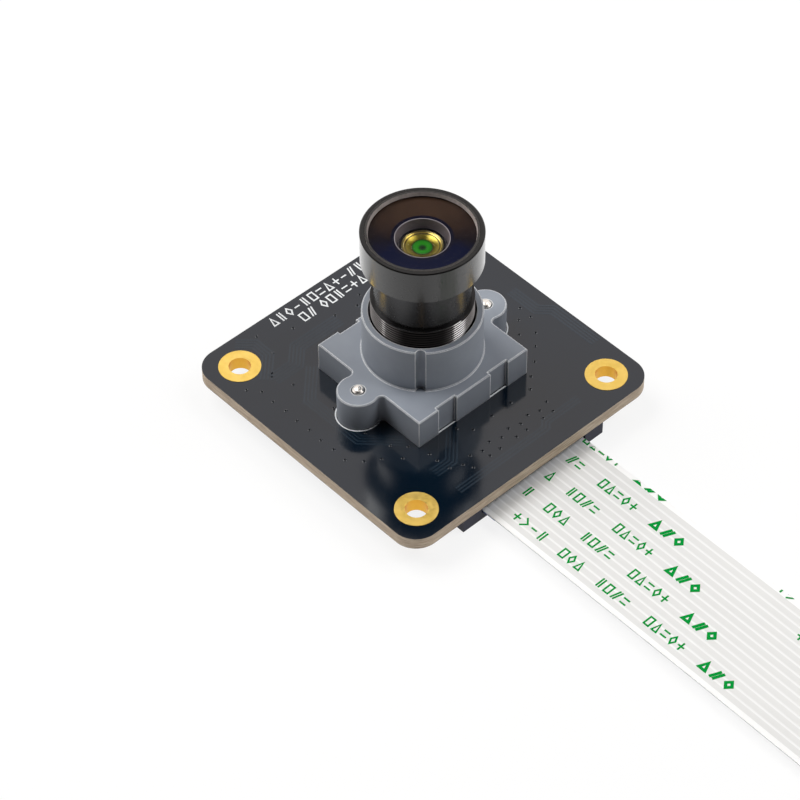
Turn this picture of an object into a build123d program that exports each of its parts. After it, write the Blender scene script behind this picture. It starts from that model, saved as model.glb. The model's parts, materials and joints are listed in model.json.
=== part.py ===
"""Board camera module: a square circuit board that carries an image sensor under a moulded
lens holder, a focusing lens screwed into the holder, and a flat ribbon cable that leaves a
sliding-lock connector under one edge.

Millimetres. The origin is the centre of the four mounting holes on the board's underside.
+Z is the viewing direction of the lens, and +X is the way the cable leaves.
"""
import os
from math import atan2, sqrt, tan

from build123d import *

os.makedirs("parts", exist_ok=True)

# Circuit board
board_side = 38.0
board_thickness = 1.6
board_corner_radius = 3.0
mounting_hole_pitch = 30.0
mounting_hole_radius = 1.3
pad_radius = 2.5
plating_thickness = 0.05
holder_screw_pitch = 20.0
screw_clearance_radius = 0.9

# Lens holder: a square moulded box with two ears and an upright threaded tube
holder_side = 17.0
holder_base_height = 4.0
holder_wall = 1.2
holder_roof = 1.1
holder_cavity_corner = 0.6
ear_radius = 2.5
ear_neck_fillet = 0.6
ear_hole_radius = 0.83
ear_hole_depth = 0.9
tube_outer_radius = 7.0
tube_height = 6.1
thread_radius = 6.0
rim_relief_radius = 6.2
rim_relief_depth = 1.0
bore_floor_lift = 0.1
light_path_radius = 4.4
flute_radius = 0.57
flute_angles = (-45, 135)
side_recess_width = 2.8
side_recess_depth = 0.4
side_recess_offset = 4.05
edge_softening = 0.12

# Holder screws, driven up through the board
screw_radius = 0.7
screw_head_radius = 1.45
screw_head_height = 0.8
screw_tip_rise = 0.3
screw_head_chamfer = 0.25
screw_tip_chamfer = 0.2
driver_slot_length = 1.5
driver_slot_width = 0.35
driver_slot_depth = 0.4

# Image sensor
sensor_length = 10.0
sensor_width = 9.0
sensor_height = 1.5
sensor_floor = 0.5
sensor_frame = 1.1
sensor_ledge = 0.4
cover_glass_thickness = 0.4
die_length = 6.6
die_width = 5.4
die_thickness = 0.3
filter_side = 10.4
filter_thickness = 0.3

# Lens barrel, with heights measured from the holder's rim or from the face below
thread_clearance = 0.05
thread_shown = 2.4
thread_length = 7.2
thread_end_chamfer = 0.25
neck_radius = 5.55
neck_length = 5.6
head_radius = 7.0
head_length = 4.4
head_chamfer = 0.12
barrel_bore_radius = 4.6
barrel_lip_radius = 3.7
barrel_lip_thickness = 0.8
front_pocket_radius = 6.45
lens_play = 0.03

# Glasses and spacers, each stacked on the one below it
front_opening_radius = 6.04
front_ring_thickness = 0.5
front_ring_flare = 0.12
front_rim_thickness = 0.7
front_crown = 0.35
front_bowl_radius = 3.07
front_bowl_sag = 0.6
front_spacer_thickness = 2.0
front_spacer_foot_radius = 2.75
second_rim_thickness = 1.5
second_dish_radius = 2.3
second_dish_sag = 0.42
second_seat_height = 0.95
second_seat_gap = 0.05
spacer_inner_radius = 4.0
third_rim_thickness = 2.0
third_face_radius = 3.6
third_sag = 0.8
middle_spacer_thickness = 1.8
middle_spacer_inner_radius = 3.7
stop_thickness = 0.2
stop_axial_gap = 0.05
stop_radius = 4.0
stop_opening_radius = 1.6
stop_radial_gap = 0.1
fourth_rim_thickness = 1.5
fourth_face_radius = 3.2
fourth_sag = 0.35
rear_spacer_thickness = 1.8
rear_rim_thickness = 1.8
rear_face_radius = 3.5
rear_sag = 0.6

# Cable connector: housing, sliding latch and fifteen contacts
contact_count = 15
contact_pitch = 1.0
connector_height = 2.6
connector_setback = 0.5
housing_side_wall = 1.7
housing_depth = 4.9
housing_back_wall = 1.0
slot_side_gap = 0.2
latch_bar_depth = 1.15
latch_arm_thickness = 1.12
latch_arm_reach = 3.0
latch_play = 0.05
latch_travel = 1.0
latch_board_gap = 0.1
latch_floor_gap = 0.05
tongue_thickness = 0.35
tongue_reach = 2.6
tongue_side_gap = 0.3
rail_height = 0.6
rail_depth = 0.4
rail_rib_length = 1.0
contact_width = 0.35
contact_thickness = 0.15
contact_slot_gap = 0.04
contact_foot_length = 1.1
contact_arm_length = 3.0
contact_dimple = 0.12
contact_tip_length = 0.6
anchor_tab_setback = 0.3
anchor_tab_length = 1.3
anchor_tab_reach = 1.0
anchor_tab_height = 1.3
anchor_tab_thickness = 0.2

# Flat cable. Each point of its route is a distance along X from the latch's front and a height
cable_side_margin = 0.5
cable_thickness = 0.2
stiffener_thickness = 0.1
near_stiffener_length = 6.6
far_stiffener_length = 8.0
exposed_length = 4.0
strip_width = 0.7
strip_thickness = 0.03
cable_route = ((-4.8, -1.3), (25.5, -1.3), (57.5, -1.95), (89.5, -2.4), (145.2, -2.4))
route_corner_share = 0.45

# Parts on the underside of the board
regulator_size = (2.9, 1.6, 1.0)
regulator_standoff = 0.1
regulator_draft = 5
lead_width = 0.4
lead_thickness = 0.15
lead_pitch = 0.95
lead_stub = 0.05
lead_rise = 0.5
lead_foot_length = 0.55
regulator_count = 3
regulator_pitch = 5.5
regulator_edge_distance = 5.5
oscillator_size = (3.2, 2.5, 0.6)
oscillator_lid_inset = 0.25
oscillator_lid_thickness = 0.25
oscillator_spot = (-7.5, 9.5)
chip_size = (1.0, 0.5, 0.5)
chip_cap_length = 0.25
capacitor_spots = (
    (-9.5, 6.3), (-9.5, 4.7), (-9.5, 0.8), (-9.5, -0.8), (-9.5, -4.7), (-9.5, -6.3),
    (4.5, 5.4), (4.5, 3.6), (4.5, 1.8), (4.5, 0.0), (4.5, -1.8), (4.5, -3.6), (4.5, -5.4),
    (-4.5, 4.5), (-4.5, 1.5), (-4.5, -1.5), (-4.5, -4.5),
)
resistor_size = (1.0, 0.5, 0.35)
resistor_spots = (
    (8.6, 7.5), (8.6, 6.0), (8.6, 4.5), (8.6, -4.5), (8.6, -6.0), (8.6, -7.5),
    (-7.0, -9.5), (-5.0, -9.5), (-9.0, -9.5),
)

# Levels that follow from the sizes above
board_top = board_thickness
base_top = board_top + holder_base_height
rim_level = base_top + tube_height
cavity_roof = base_top - holder_roof
shoulder_level = rim_level + thread_shown
barrel_foot = shoulder_level - thread_length
head_foot = shoulder_level + neck_length
front_level = head_foot + head_length
bore_floor = base_top + bore_floor_lift
barrel_thread_radius = thread_radius - thread_clearance
stack_radius = barrel_bore_radius - lens_play
pocket_fill_radius = front_pocket_radius - lens_play
ear_offset = holder_screw_pitch / 2
screw_places = ((0, ear_offset), (0, -ear_offset))


def save(piece, label):
    """Name a finished piece and write it to its own file."""
    piece.part.label = label
    export_step(piece.part, f"parts/{label}.step")


def point_on_cap(chord_radius, level, sag):
    """The point halfway out on a spherical cap whose rim stands at the given level."""
    ball_radius = (chord_radius ** 2 + sag ** 2) / (2 * abs(sag))
    drop = ball_radius - sqrt(ball_radius ** 2 - (chord_radius / 2) ** 2)
    apex = level + sag
    return (chord_radius / 2, apex - drop if sag > 0 else apex + drop)


def turned_glass(rim_radius, foot, thickness, front_face=(0, 0), back_face=(0, 0), step=(0, 0)):
    """A glass turned about Z, with a spherical face (radius, sag) or a flat on each side.

    A sag above zero bulges out of the glass, and one below zero is hollow. A step (radius, height)
    raises the middle of the front above its rim.
    """
    front_radius, front_sag = front_face
    back_radius, back_sag = back_face
    step_radius, step_height = step
    rim_top = foot + thickness
    top = rim_top + step_height
    with BuildPart() as glass:
        with BuildSketch(Plane.XZ):
            with BuildLine():
                if front_radius:
                    ThreePointArc((0, top + front_sag), point_on_cap(front_radius, top, front_sag),
                                  (front_radius, top))
                if step_height:
                    Polyline((front_radius, top), (step_radius, top), (step_radius, rim_top))
                shoulder_radius = step_radius or front_radius
                Polyline((shoulder_radius, rim_top), (rim_radius, rim_top), (rim_radius, foot),
                         (back_radius, foot))
                if back_radius:
                    ThreePointArc((back_radius, foot), point_on_cap(back_radius, foot, -back_sag),
                                  (0, foot - back_sag))
                Line((0, foot - back_sag), (0, top + front_sag))
            make_face()
        revolve(axis=Axis.Z)
    return glass


def turned_ring(*outline):
    """A ring turned about Z from its cross-section, given as (radius, level) corners."""
    with BuildPart() as ring:
        with BuildSketch(Plane.XZ):
            with BuildLine():
                Polyline(*outline, close=True)
            make_face()
        revolve(axis=Axis.Z)
    return ring


# Circuit board with drilled mounting holes and screw holes
with BuildPart() as circuit_board:
    with BuildSketch():
        RectangleRounded(board_side, board_side, board_corner_radius)
        with GridLocations(mounting_hole_pitch, mounting_hole_pitch, 2, 2):
            Circle(mounting_hole_radius + plating_thickness, mode=Mode.SUBTRACT)
        with Locations(*screw_places):
            Circle(screw_clearance_radius, mode=Mode.SUBTRACT)
    extrude(amount=board_thickness)
save(circuit_board, "circuit_board")

# Plating of the mounting holes: a pad on each face, joined by the lining of the hole
with BuildPart() as hole_plating:
    with BuildSketch(Plane.XY.offset(-plating_thickness)):
        with GridLocations(mounting_hole_pitch, mounting_hole_pitch, 2, 2):
            Circle(pad_radius)
    extrude(amount=plating_thickness)
    with BuildSketch():
        with GridLocations(mounting_hole_pitch, mounting_hole_pitch, 2, 2):
            Circle(mounting_hole_radius + plating_thickness)
    extrude(amount=board_thickness)
    with BuildSketch(Plane.XY.offset(board_top)):
        with GridLocations(mounting_hole_pitch, mounting_hole_pitch, 2, 2):
            Circle(pad_radius)
    extrude(amount=plating_thickness)
    with BuildSketch(Plane.XY.offset(-plating_thickness)):
        with GridLocations(mounting_hole_pitch, mounting_hole_pitch, 2, 2):
            Circle(mounting_hole_radius)
    extrude(amount=board_thickness + 2 * plating_thickness, mode=Mode.SUBTRACT)
save(hole_plating, "hole_plating")

# Lens holder
with BuildPart() as lens_holder:
    with BuildSketch(Plane.XY.offset(board_top)) as base_outline:
        Rectangle(holder_side, holder_side)
        with Locations(*screw_places):
            Circle(ear_radius)
        neck_corners = base_outline.vertices().filter_by(lambda corner: abs(corner.X) < ear_radius)
        fillet(neck_corners, radius=ear_neck_fillet)
        with GridLocations(holder_side, 2 * side_recess_offset, 2, 2):
            Rectangle(2 * side_recess_depth, side_recess_width, mode=Mode.SUBTRACT)
    extrude(amount=holder_base_height)
    chamfer(lens_holder.faces().sort_by(Axis.Z)[-1].edges(), length=edge_softening)
    with BuildSketch(Plane.XY.offset(base_top)):
        Circle(tube_outer_radius)
    extrude(amount=tube_height)
    tube_foot = lens_holder.edges().filter_by(GeomType.CIRCLE).filter_by(
        lambda edge: abs(edge.radius - tube_outer_radius) < edge_softening / 2
        and abs(edge.center().Z - base_top) < edge_softening / 2)
    tube_rim = lens_holder.faces().sort_by(Axis.Z)[-1].edges()
    chamfer(tube_foot + tube_rim, length=edge_softening)
    with BuildSketch(Plane.XY.offset(base_top)):
        for angle in flute_angles:
            with PolarLocations(tube_outer_radius, 1, start_angle=angle):
                Circle(flute_radius)
    extrude(amount=tube_height, mode=Mode.SUBTRACT)
    with BuildSketch(Plane.XY.offset(board_top)):
        cavity_side = holder_side - 2 * holder_wall
        RectangleRounded(cavity_side, cavity_side, holder_cavity_corner)
    extrude(amount=holder_base_height - holder_roof, mode=Mode.SUBTRACT)
    with BuildSketch(Plane.XY.offset(cavity_roof)):
        Circle(light_path_radius)
    extrude(until=Until.LAST, mode=Mode.SUBTRACT)
    with BuildSketch(Plane.XY.offset(bore_floor)):
        Circle(thread_radius)
    extrude(amount=rim_level - bore_floor, mode=Mode.SUBTRACT)
    with BuildSketch(Plane.XY.offset(rim_level - rim_relief_depth)):
        Circle(rim_relief_radius)
    extrude(amount=rim_relief_depth, mode=Mode.SUBTRACT)
    with BuildSketch(Plane.XY.offset(board_top)):
        with Locations(*screw_places):
            Circle(screw_radius)
    extrude(amount=holder_base_height, mode=Mode.SUBTRACT)
    with BuildSketch(Plane.XY.offset(base_top - ear_hole_depth)):
        with Locations(*screw_places):
            Circle(ear_hole_radius)
    extrude(amount=ear_hole_depth, mode=Mode.SUBTRACT)
save(lens_holder, "lens_holder")

# Screws from the underside, with cross slots in the heads and tapered tips above the ears
with BuildPart() as holder_screws:
    with BuildSketch(Plane.XY.offset(-screw_head_height)):
        with Locations(*screw_places):
            Circle(screw_head_radius)
    extrude(amount=screw_head_height)
    head_edges = holder_screws.edges().group_by(Axis.Z)[0]
    chamfer(head_edges, length=screw_head_chamfer)
    with BuildSketch():
        with Locations(*screw_places):
            Circle(screw_radius)
    extrude(amount=base_top + screw_tip_rise)
    tip_edges = holder_screws.edges().group_by(Axis.Z)[-1]
    chamfer(tip_edges, length=screw_tip_chamfer)
    with BuildSketch(Plane.XY.offset(-screw_head_height)):
        with Locations(*screw_places):
            Rectangle(driver_slot_length, driver_slot_width)
            Rectangle(driver_slot_width, driver_slot_length)
    extrude(amount=driver_slot_depth, mode=Mode.SUBTRACT)
save(holder_screws, "holder_screws")

# Image sensor: an open ceramic package with the die inside and a glass lid on its ledge
with BuildPart() as sensor_package:
    with BuildSketch(Plane.XY.offset(board_top)):
        Rectangle(sensor_length, sensor_width)
    extrude(amount=sensor_height)
    with BuildSketch(Plane.XY.offset(board_top + sensor_floor)):
        Rectangle(sensor_length - 2 * sensor_frame, sensor_width - 2 * sensor_frame)
    extrude(amount=sensor_height, mode=Mode.SUBTRACT)
    with BuildSketch(Plane.XY.offset(board_top + sensor_height - cover_glass_thickness)):
        Rectangle(sensor_length - 2 * sensor_frame + 2 * sensor_ledge,
                  sensor_width - 2 * sensor_frame + 2 * sensor_ledge)
    extrude(amount=cover_glass_thickness, mode=Mode.SUBTRACT)
save(sensor_package, "sensor_package")

with BuildPart() as sensor_die:
    with BuildSketch(Plane.XY.offset(board_top + sensor_floor)):
        Rectangle(die_length, die_width)
    extrude(amount=die_thickness)
save(sensor_die, "sensor_die")

with BuildPart() as sensor_cover_glass:
    with BuildSketch(Plane.XY.offset(board_top + sensor_height - cover_glass_thickness)):
        Rectangle(sensor_length - 2 * sensor_frame + 2 * sensor_ledge,
                  sensor_width - 2 * sensor_frame + 2 * sensor_ledge)
    extrude(amount=cover_glass_thickness)
save(sensor_cover_glass, "sensor_cover_glass")

# Infrared filter, glued under the roof of the holder's cavity
with BuildPart() as infrared_filter:
    with BuildSketch(Plane.XY.offset(cavity_roof - filter_thickness)):
        Rectangle(filter_side, filter_side)
    extrude(amount=filter_thickness)
save(infrared_filter, "infrared_filter")

# Lens barrel, turned in one piece: threaded foot, slim neck and wide head
front_ring_foot = front_level - front_ring_thickness
front_glass_foot = front_ring_foot - front_rim_thickness
pocket_floor = front_glass_foot - front_spacer_thickness
lip_top = barrel_foot + barrel_lip_thickness
lens_barrel = turned_ring(
    (barrel_lip_radius, barrel_foot),
    (barrel_thread_radius - thread_end_chamfer, barrel_foot),
    (barrel_thread_radius, barrel_foot + thread_end_chamfer),
    (barrel_thread_radius, shoulder_level),
    (neck_radius, shoulder_level),
    (neck_radius, head_foot),
    (head_radius - head_chamfer, head_foot),
    (head_radius, head_foot + head_chamfer),
    (head_radius, front_level - head_chamfer),
    (head_radius - head_chamfer, front_level),
    (front_pocket_radius, front_level),
    (front_pocket_radius, pocket_floor),
    (barrel_bore_radius, pocket_floor),
    (barrel_bore_radius, lip_top),
    (barrel_lip_radius, lip_top),
)
save(lens_barrel, "lens_barrel")

# The stack inside the barrel, from the rear lip up to the stop
rear_lens_element = turned_glass(
    stack_radius, lip_top, rear_rim_thickness, front_face=(rear_face_radius, rear_sag))
save(rear_lens_element, "rear_lens_element")

rear_spacer_foot = lip_top + rear_rim_thickness
rear_spacer_top = rear_spacer_foot + rear_spacer_thickness
rear_spacer = turned_ring(
    (spacer_inner_radius, rear_spacer_foot), (stack_radius, rear_spacer_foot),
    (stack_radius, rear_spacer_top), (spacer_inner_radius, rear_spacer_top))
save(rear_spacer, "rear_spacer")

fourth_lens_element = turned_glass(
    stack_radius, rear_spacer_top, fourth_rim_thickness, back_face=(fourth_face_radius, -fourth_sag))
save(fourth_lens_element, "fourth_lens_element")

# Middle spacer, with a shallow pocket in its foot where the aperture stop lies
middle_foot = rear_spacer_top + fourth_rim_thickness
middle_top = middle_foot + middle_spacer_thickness
stop_pocket_top = middle_foot + stop_thickness + 2 * stop_axial_gap
stop_pocket_radius = stop_radius + stop_radial_gap
middle_spacer = turned_ring(
    (stop_pocket_radius, middle_foot), (stack_radius, middle_foot),
    (stack_radius, middle_top), (middle_spacer_inner_radius, middle_top),
    (middle_spacer_inner_radius, stop_pocket_top), (stop_pocket_radius, stop_pocket_top))
save(middle_spacer, "middle_spacer")

stop_foot = middle_foot + stop_axial_gap
aperture_stop = turned_ring(
    (stop_opening_radius, stop_foot), (stop_radius, stop_foot),
    (stop_radius, stop_foot + stop_thickness), (stop_opening_radius, stop_foot + stop_thickness))
save(aperture_stop, "aperture_stop")

third_lens_element = turned_glass(
    stack_radius, middle_top, third_rim_thickness, front_face=(third_face_radius, third_sag))
save(third_lens_element, "third_lens_element")

# Front half of the stack, from the third glass to the retaining ring
upper_spacer_foot = middle_top + third_rim_thickness
second_foot = pocket_floor - second_rim_thickness
upper_spacer = turned_ring(
    (spacer_inner_radius, upper_spacer_foot), (stack_radius, upper_spacer_foot),
    (stack_radius, second_foot), (spacer_inner_radius, second_foot))
save(upper_spacer, "upper_spacer")

second_lens_element = turned_glass(
    stack_radius, second_foot, second_rim_thickness, front_face=(second_dish_radius, -second_dish_sag),
    step=(front_spacer_foot_radius - second_seat_gap, second_seat_height))
save(second_lens_element, "second_lens_element")

front_spacer = turned_ring(
    (front_spacer_foot_radius, pocket_floor), (pocket_fill_radius, pocket_floor),
    (pocket_fill_radius, front_glass_foot), (front_bowl_radius, front_glass_foot))
save(front_spacer, "front_spacer")

front_lens_element = turned_glass(
    pocket_fill_radius, front_glass_foot, front_rim_thickness,
    front_face=(front_opening_radius, front_crown), back_face=(front_bowl_radius, -front_bowl_sag))
save(front_lens_element, "front_lens_element")

front_retaining_ring = turned_ring(
    (front_opening_radius, front_ring_foot), (pocket_fill_radius, front_ring_foot),
    (pocket_fill_radius, front_level), (front_opening_radius + front_ring_flare, front_level))
save(front_retaining_ring, "front_retaining_ring")

# Connector levels and places, measured from the board's underside and its edge
connector_foot = -connector_height
latch_front = board_side / 2 - connector_setback
latch_back = latch_front - latch_bar_depth
housing_front = latch_back - latch_play
housing_back = housing_front - housing_depth
slot_back = housing_back + housing_back_wall
cable_points = [(latch_front + distance, height) for distance, height in cable_route]
cable_start, cable_level = cable_points[0]
cable_end, cable_rest_level = cable_points[-1]
cable_width = contact_count * contact_pitch + 2 * cable_side_margin
cable_underside = cable_level - cable_thickness / 2
cable_topside = cable_level + cable_thickness / 2
strip_top = cable_topside + strip_thickness
tongue_top = cable_underside - stiffener_thickness - latch_play
tongue_foot = tongue_top - tongue_thickness
slot_width = cable_width + 2 * slot_side_gap
housing_width = slot_width + 2 * housing_side_wall
slot_foot = tongue_foot - latch_play
arm_top = strip_top + contact_dimple + contact_thickness
slot_top = arm_top + contact_slot_gap
arm_inner = housing_width / 2 + latch_play
arm_outer = arm_inner + latch_arm_thickness
rail_level = (slot_foot + slot_top) / 2
rail_back = latch_back - latch_arm_reach - latch_play
rail_length = rail_rib_length + latch_travel + 2 * latch_play
rail_bottom = housing_width / 2 - rail_depth

# Connector housing: a block with a slot for the cable, a comb of cuts for the contacts,
# and a blind groove along each end for the latch's rib
with BuildPart() as connector_housing:
    with BuildSketch(Plane.XY.offset(connector_foot)):
        with Locations(((housing_back + housing_front) / 2, 0)):
            Rectangle(housing_depth, housing_width)
    extrude(amount=connector_height)
    with BuildSketch(Plane.YZ.offset(slot_back)):
        with Locations((0, (slot_foot + slot_top) / 2)):
            Rectangle(slot_width, slot_top - slot_foot)
    extrude(amount=housing_depth, mode=Mode.SUBTRACT)
    with BuildSketch(Plane.XY.offset(arm_top - contact_thickness - contact_slot_gap)):
        with Locations((housing_back + housing_back_wall / 2, 0)):
            with GridLocations(contact_pitch, contact_pitch, 1, contact_count):
                Rectangle(housing_back_wall, contact_width + 2 * contact_slot_gap)
    extrude(until=Until.LAST, mode=Mode.SUBTRACT)
    with BuildSketch(Plane.XY.offset(rail_level - rail_height / 2)):
        with Locations((rail_back + rail_length / 2, 0)):
            with GridLocations(0, housing_width, 1, 2):
                Rectangle(rail_length, 2 * rail_depth)
    extrude(amount=rail_height, mode=Mode.SUBTRACT)
save(connector_housing, "connector_housing")

# Sliding latch: a front bar with the cable's slot, two arms and a tongue under the cable
with BuildPart() as connector_latch:
    latch_top = -latch_board_gap
    latch_foot = connector_foot + latch_floor_gap
    with BuildSketch(Plane.XY.offset(latch_foot)):
        with Locations(((latch_back + latch_front) / 2, 0)):
            Rectangle(latch_bar_depth, 2 * arm_outer)
        with Locations((latch_back - latch_arm_reach / 2, 0)):
            with GridLocations(0, arm_outer + arm_inner, 1, 2):
                Rectangle(latch_arm_reach, arm_outer - arm_inner)
    extrude(amount=latch_top - latch_foot)
    with BuildSketch(Plane.YZ.offset(latch_back)):
        with Locations((0, (tongue_top + slot_top) / 2)):
            Rectangle(slot_width, slot_top - tongue_top)
    extrude(amount=latch_bar_depth, mode=Mode.SUBTRACT)
    with BuildSketch(Plane.XY.offset(tongue_foot)):
        with Locations((latch_back - tongue_reach / 2, 0)):
            Rectangle(tongue_reach, slot_width - 2 * tongue_side_gap)
    extrude(amount=tongue_thickness)
    with BuildSketch(Plane.XY.offset(rail_level - rail_height / 2 + latch_play)):
        rib_depth = arm_inner - rail_bottom - latch_play
        with Locations((rail_back + latch_play + rail_rib_length / 2, 0)):
            with GridLocations(0, 2 * arm_inner - rib_depth, 1, 2):
                Rectangle(rail_rib_length, rib_depth)
    extrude(amount=rail_height - 2 * latch_play)
save(connector_latch, "connector_latch")

# Contacts: each has a soldered foot, a riser through the back wall and a spring arm whose
# bent tip presses on the cable
with BuildPart() as one_contact:
    riser_back = housing_back + housing_back_wall / 2
    riser_front = riser_back + contact_thickness
    arm_end = slot_back + contact_arm_length
    with BuildSketch(Plane.XZ):
        with BuildLine():
            Polyline(
                (housing_back - contact_foot_length, 0),
                (riser_front, 0),
                (riser_front, arm_top),
                (arm_end, arm_top),
                (arm_end, arm_top - contact_thickness),
                (arm_end - contact_tip_length / 2, strip_top),
                (arm_end - contact_tip_length, arm_top - contact_thickness),
                (riser_back, arm_top - contact_thickness),
                (riser_back, -contact_thickness),
                (housing_back - contact_foot_length, -contact_thickness),
                close=True)
        make_face()
    extrude(amount=contact_width / 2, both=True)

with BuildPart() as connector_contacts:
    with GridLocations(contact_pitch, contact_pitch, 1, contact_count):
        add(one_contact.part)
save(connector_contacts, "connector_contacts")

# Anchor tabs: an angle of sheet metal at each end of the housing, soldered to the board
anchor_tab_middle = housing_back + anchor_tab_setback + anchor_tab_length / 2
with BuildPart() as connector_anchor_tabs:
    with BuildSketch(Plane.XY.offset(-anchor_tab_thickness)):
        with Locations((anchor_tab_middle, 0)):
            with GridLocations(0, housing_width + anchor_tab_reach, 1, 2):
                Rectangle(anchor_tab_length, anchor_tab_reach)
    extrude(amount=anchor_tab_thickness)
    with BuildSketch(Plane.XY.offset(-anchor_tab_height)):
        with Locations((anchor_tab_middle, 0)):
            with GridLocations(0, housing_width + anchor_tab_thickness, 1, 2):
                Rectangle(anchor_tab_length, anchor_tab_thickness)
    extrude(amount=anchor_tab_height)
save(connector_anchor_tabs, "connector_anchor_tabs")


def route_radii(route):
    """The largest arc that each corner of the route allows, from its shorter run and its turn."""
    radii = []
    for before, corner, after in zip(route, route[1:], route[2:]):
        run_in = Vector(corner) - Vector(before)
        run_out = Vector(after) - Vector(corner)
        turn = abs(atan2(run_out.Y, run_out.X) - atan2(run_in.Y, run_in.X))
        radii.append(route_corner_share * min(run_in.length, run_out.length) / tan(turn / 2))
    return radii


# Flat cable: level out of the connector, then sagging slowly onto the surface
with BuildPart() as ribbon_cable:
    with BuildLine(Plane.XZ) as cable_line:
        FilletPolyline(*cable_points, radius=route_radii(cable_points))
    with BuildSketch(Plane.YZ.offset(cable_start)):
        with Locations((0, cable_level)):
            Rectangle(cable_width, cable_thickness)
    sweep(path=cable_line.line)
save(ribbon_cable, "ribbon_cable")
print("cable arcs", [round(radius) for radius in route_radii(cable_points)])
cable_length = cable_line.wires()[0].length
print("cable length", round(cable_length, 2))
print("cable volume", round(ribbon_cable.part.volume, 2),
      "section times length", round(cable_width * cable_thickness * cable_length, 2))


def cable_end_piece(level, start, length, width, thickness, count):
    """Flat strips side by side on the cable, from start along X."""
    with BuildPart() as strips:
        with BuildSketch(Plane.XY.offset(level)):
            with Locations((start + length / 2, 0)):
                with GridLocations(contact_pitch, contact_pitch, 1, count):
                    Rectangle(length, width)
        extrude(amount=thickness)
    return strips


far_underside = cable_rest_level - cable_thickness / 2
far_topside = cable_rest_level + cable_thickness / 2
cable_near_stiffener = cable_end_piece(
    cable_underside - stiffener_thickness, cable_start, near_stiffener_length,
    cable_width, stiffener_thickness, 1)
save(cable_near_stiffener, "cable_near_stiffener")

cable_far_stiffener = cable_end_piece(
    far_underside - stiffener_thickness, cable_end - far_stiffener_length, far_stiffener_length,
    cable_width, stiffener_thickness, 1)
save(cable_far_stiffener, "cable_far_stiffener")

cable_near_strips = cable_end_piece(
    cable_topside, cable_start, exposed_length, strip_width, strip_thickness, contact_count)
save(cable_near_strips, "cable_near_strips")

cable_far_strips = cable_end_piece(
    far_topside, cable_end - exposed_length, exposed_length, strip_width, strip_thickness, contact_count)
save(cable_far_strips, "cable_far_strips")

# Voltage regulators: moulded bodies on bent leads, three on one side and two on the other
regulator_length, regulator_width, regulator_height = regulator_size
parting_level = -lead_rise - lead_thickness / 2
regulator_column = regulator_edge_distance - board_side / 2
with BuildPart() as regulator_bodies:
    with BuildSketch(Plane.XY.offset(parting_level)) as regulator_outline:
        with Locations((regulator_column, 0)):
            with GridLocations(regulator_pitch, regulator_pitch, 1, regulator_count):
                Rectangle(regulator_width, regulator_length)
    extrude(amount=-parting_level - regulator_standoff, taper=regulator_draft)
    extrude(regulator_outline.sketch, amount=-(regulator_height + regulator_standoff + parting_level),
            taper=regulator_draft)
save(regulator_bodies, "regulator_bodies")

with BuildPart() as one_lead:
    lead_in = regulator_width / 2
    lead_bend = lead_in + lead_stub
    with BuildSketch(Plane.XZ):
        with BuildLine():
            Polyline(
                (lead_in, -lead_rise),
                (lead_bend, -lead_rise),
                (lead_bend, 0),
                (lead_bend + lead_foot_length, 0),
                (lead_bend + lead_foot_length, -lead_thickness),
                (lead_bend + lead_thickness, -lead_thickness),
                (lead_bend + lead_thickness, -lead_rise - lead_thickness),
                (lead_in, -lead_rise - lead_thickness),
                close=True)
        make_face()
    extrude(amount=lead_width / 2, both=True)

with BuildPart() as regulator_lead_set:
    with GridLocations(lead_pitch, lead_pitch, 1, 3):
        add(one_lead.part)
    with GridLocations(lead_pitch, 2 * lead_pitch, 1, 2):
        add(one_lead.part.mirror(Plane.YZ))

with BuildPart() as regulator_leads:
    with Locations((regulator_column, 0)):
        with GridLocations(regulator_pitch, regulator_pitch, 1, regulator_count):
            add(regulator_lead_set.part)
save(regulator_leads, "regulator_leads")

# Clock oscillator: a ceramic base with a metal lid
oscillator_length, oscillator_width, oscillator_height = oscillator_size
with BuildPart() as oscillator_base:
    with BuildSketch(Plane.XY.offset(-oscillator_height)):
        with Locations(oscillator_spot):
            Rectangle(oscillator_length, oscillator_width)
    extrude(amount=oscillator_height)
save(oscillator_base, "oscillator_base")

with BuildPart() as oscillator_lid:
    with BuildSketch(Plane.XY.offset(-oscillator_height - oscillator_lid_thickness)):
        with Locations(oscillator_spot):
            Rectangle(oscillator_length - 2 * oscillator_lid_inset,
                      oscillator_width - 2 * oscillator_lid_inset)
    extrude(amount=oscillator_lid_thickness)
save(oscillator_lid, "oscillator_lid")


def chip_bodies(size, spots):
    """The bodies of small chips, each between its two end caps."""
    length, width, height = size
    with BuildPart() as bodies:
        with BuildSketch(Plane.XY.offset(-height)):
            with Locations(*spots):
                Rectangle(length - 2 * chip_cap_length, width)
        extrude(amount=height)
    return bodies


def chip_end_caps(size, spots):
    """The soldered end caps of small chips, two to a chip."""
    length, width, height = size
    with BuildPart() as caps:
        with BuildSketch(Plane.XY.offset(-height)):
            for spot in spots:
                with Locations(spot):
                    with GridLocations(length - chip_cap_length, width, 2, 1):
                        Rectangle(chip_cap_length, width)
        extrude(amount=height)
    return caps


# Decoupling capacitors and resistors
save(chip_bodies(chip_size, capacitor_spots), "capacitor_bodies")
save(chip_end_caps(chip_size, capacitor_spots), "capacitor_end_caps")
save(chip_bodies(resistor_size, resistor_spots), "resistor_bodies")
save(chip_end_caps(resistor_size, resistor_spots), "resistor_end_caps")
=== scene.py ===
"""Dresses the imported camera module: a finish for every part, the lens with its thread, the flat
cable with its print, and the copper, vias and legend of the circuit board.

Everything is in the frame of the CAD model, in metres. The origin is the centre of the mounting
holes on the board's underside, +Z is the lens's viewing direction and +X is the way the cable leaves.
"""
import json
from math import cos, pi, radians, sin, tau

import bmesh
import bpy
from mathutils import Matrix, Vector


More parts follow.
